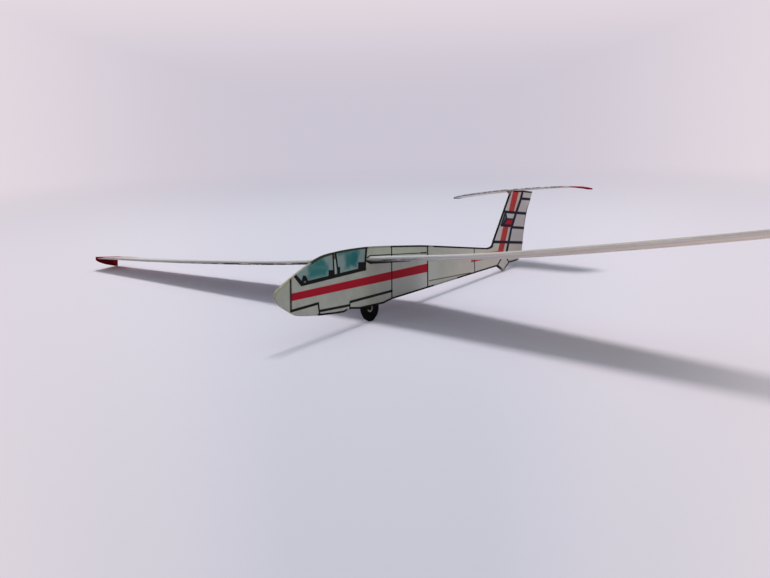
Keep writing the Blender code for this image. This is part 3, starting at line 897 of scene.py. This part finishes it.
def sheet_paper():
    """Pale paper, painted lighter to both sides as painted light. Far from the model and to both sides it
    gives off light of its own, as if more lamps stood over it."""
    material = bpy.data.materials.new("sheet_paper")
    material.use_nodes = True
    tree = material.node_tree
    shader = tree.nodes["Principled BSDF"]
    shader.inputs["Roughness"].default_value = 1.0
    shader.inputs["Specular IOR Level"].default_value = 0.0
    where = scaled(tree, add_node(tree, "ShaderNodeTexCoord").outputs["Object"], 1 / MM)
    height = vector_sums(tree, "DOT_PRODUCT", where, UPWARD)
    far = spread(tree, vector_sums(tree, "LENGTH", where), *FAR_GLOW_DISTANCES)
    out = vector_sums(tree, "SUBTRACT", where, BEARINGS_FROM)
    sideways = sums(tree, "ABSOLUTE", vector_sums(tree, "DOT_PRODUCT", out, SHEET_ACROSS))
    bearing = sums(tree, "DIVIDE", sideways, vector_sums(tree, "DOT_PRODUCT", out, SHEET_ALONG))
    # Painted light: the paper is lighter to both sides
    side_painted_light = spread(tree, bearing, *SIDE_PAINTED_LIGHT_BEARINGS)
    paper = blended(tree, side_painted_light, SHEET_COLOUR, SHEET_SIDE_PAINTED_LIGHT)
    tree.links.new(paper, shader.inputs["Base Color"])
    side = spread(tree, bearing, *SIDE_TINT_BEARINGS)
    side = sums(tree, "MAXIMUM", side, spread(tree, height, *SIDE_TINT_HEIGHTS))
    side_share = spread(tree, bearing, *SIDE_GLOW_BEARINGS, 0.0, SIDE_SHARE)
    colour = blended(tree, side, FAR_GLOW, SIDE_GLOW)
    glow = add_node(tree, "ShaderNodeEmission", {0: colour})
    share = sums(tree, "MAXIMUM", far, side_share)
    mixed = add_node(tree, "ShaderNodeMixShader", {0: share, 1: shader.outputs[0], 2: glow.outputs[0]})
    tree.links.new(mixed.outputs[0], tree.nodes["Material Output"].inputs["Surface"])
    return material


def set_sheet():
    """A pale sheet, flat under the model and curved up far behind it."""
    bpy.ops.mesh.primitive_plane_add(size=SHEET_WIDTH * MM, location=(0, 0, 0))
    sheet = bpy.context.active_object
    sheet.name = "sheet"
    for corner in sheet.data.vertices:
        corner.co.y = (SHEET_CURVE_STARTS if corner.co.y > 0 else SHEET_FRONT) * MM
    start_edit(sheet, "EDGE")
    pick(sheet, "edges", lambda edge: all(sheet.data.vertices[index].co.y > 0 for index in edge.vertices))
    centre = (0, SHEET_CURVE_STARTS * MM, SHEET_CURVE_RADIUS * MM)
    for _ in range(SHEET_CURVE_STEPS):
        bpy.ops.mesh.extrude_region_move(TRANSFORM_OT_translate={"value": (0, 0, 0)})
        bpy.ops.transform.rotate(value=math.radians(-90) / SHEET_CURVE_STEPS, orient_axis="X",
                                 center_override=centre)
    bpy.ops.mesh.extrude_region_move(
        TRANSFORM_OT_translate={"value": (0, 0, (SHEET_HEIGHT - SHEET_CURVE_RADIUS) * MM)})
    bpy.ops.mesh.select_all(action="SELECT")
    bpy.ops.transform.rotate(value=CAMERA_HEADING, orient_axis="Z", center_override=(0, 0, 0))
    bpy.ops.mesh.faces_shade_smooth()
    end_edit()
    sheet.data.materials.append(sheet_paper())


# Pieces of the model

def print_side(corner):
    """Station and height."""
    return corner.y, corner.z


def print_wing(corner):
    """Distance out along the wing, and behind its front edge."""
    span = abs(corner.x)
    return span, corner.y - WING_FRONT_STATION + WING_FORWARD_SLOPE * span


def print_tail(corner):
    """Distance to port, and behind the tailplane's rounded front edge."""
    reach = abs(corner.x) / TAIL_HALF_SPAN
    front = TAIL_FRONT_STATION + TAIL_SWEEP * reach
    front += TAIL_ROUNDING * max(0.0, (reach - TAIL_ROUNDING_STARTS) / (1 - TAIL_ROUNDING_STARTS)) ** 2
    return corner.x, corner.y - front


def lay_lean(piece):
    """Note on each corner how far its surface faces up or down."""
    lean = piece.data.attributes.new("lean", "FLOAT", "POINT")
    for corner, value in zip(piece.data.vertices, lean.data):
        value.value = corner.normal.z


def body_side(side, direction, printed, edge):
    """A printed ply of the body and fin, with its outline band and soft cut edges."""
    piece = copy_node("fuselage_side_" + side, "body_side_" + side)
    soften_edges(piece)
    rim = piece.data.attributes.new("rim", "FLOAT", "POINT")
    for value in rim.data:
        value.value = 1.0
    start_edit(piece)
    pick(piece, "polygons", lambda face: face.normal.x * direction > SQUARELY)
    bpy.ops.mesh.inset(thickness=OUTLINE_BAND, depth=0, use_even_offset=True)
    end_edit()
    # The inset leaves the face inside the band selected: its corners are off the rim
    rim = piece.data.attributes["rim"]
    for face in piece.data.polygons:
        if face.select:
            for index in face.vertices:
                rim.data[index].value = 0.0
    lay_print(piece, print_side)
    for face in piece.data.polygons:
        face.material_index = 0 if face.normal.x * direction > MOSTLY else 1
    smooth(piece)
    finish_piece(piece, "fuselage_side_" + side, [printed, edge])


def part_leaves(piece, leaf, depth):
    """The hollow between the two leaves of a folded card, open along its rear edge."""
    start_edit(piece)
    pick(piece, "polygons", lambda face: face.normal.y > MOSTLY)
    bpy.ops.mesh.inset(thickness=leaf, depth=-depth, use_even_offset=True)
    end_edit()


def card_piece(node_name, name, finish, place_of, leaves=None):
    """A printed piece of card on its CAD outline, with soft edges. Leaves, if it is folded: their
    thickness, and the depth of the hollow between them."""
    piece = copy_node(node_name, name)
    soften_edges(piece)
    if leaves:
        part_leaves(piece, *leaves)
    lay_print(piece, place_of)
    lay_lean(piece)
    smooth(piece)
    finish_piece(piece, node_name, [finish])


def make_wheel(finish):
    """The wheel's black disc, with the flats that scissors leave beside its foot."""
    piece = copy_node("main_wheel", "wheel")
    centre = Vector((0.0, *WHEEL_CENTRE))
    start_edit(piece)
    for angle, depth in WHEEL_FLATS:
        outward = Vector((0.0, math.sin(math.radians(angle)), -math.cos(math.radians(angle))))
        bpy.ops.mesh.select_all(action="SELECT")
        bpy.ops.mesh.bisect(plane_co=centre + outward * (WHEEL_RADIUS - depth), plane_no=outward,
                            use_fill=True, clear_outer=True)
    bpy.ops.mesh.select_all(action="SELECT")
    bpy.ops.mesh.remove_doubles(threshold=MERGE)
    bpy.ops.mesh.normals_make_consistent(inside=False)
    end_edit()
    soften_edges(piece)
    lay_print(piece, print_side)
    smooth(piece)
    finish_piece(piece, "main_wheel", [finish])


# All colours are chosen for the plain view transform
bpy.context.scene.view_settings.view_transform = "Standard"
set_camera()
set_lights()
set_sheet()

PRINTED = body_finish("body_print")
INKED_EDGE = cut_edge_finish("inked_cut_edge")
TAIL_CARD = tail_finish("tail_card")
RED_CARD = plain_card_finish("red_card", TIP_SHADE, TIP_RED, rough=0.6, gloss=0.05)
# The gusset is painted dark brown: painted shade under the tailplane
GUSSET_SHADED_CARD = plain_card_finish("glued_card", GUSSET_PAINTED_SHADE, CUT_FIBRE)
WHEEL_CARD = wheel_finish("wheel_card")

for side_name, side_sign in (("port", 1), ("starboard", -1)):
    body_side(side_name, side_sign, PRINTED, INKED_EDGE)
    wing_card = wing_finish("wing_card_" + side_name, *WING_LOOKS[side_name])
    card_piece("wing_" + side_name, "wing_card_" + side_name, wing_card, print_wing,
               (WING_LEAF, WING_HOLLOW))
    card_piece("wing_tip_" + side_name, "wing_end_" + side_name, RED_CARD, print_wing)
card_piece("fuselage_core", "body_core", INKED_EDGE, print_side)
make_wheel(WHEEL_CARD)
card_piece("tailplane", "tailplane_card", TAIL_CARD, print_tail, (TAIL_LEAF, TAIL_GAP))
card_piece("fin_gusset", "gusset", GUSSET_SHADED_CARD, print_side)

bpy.context.view_layer.update()
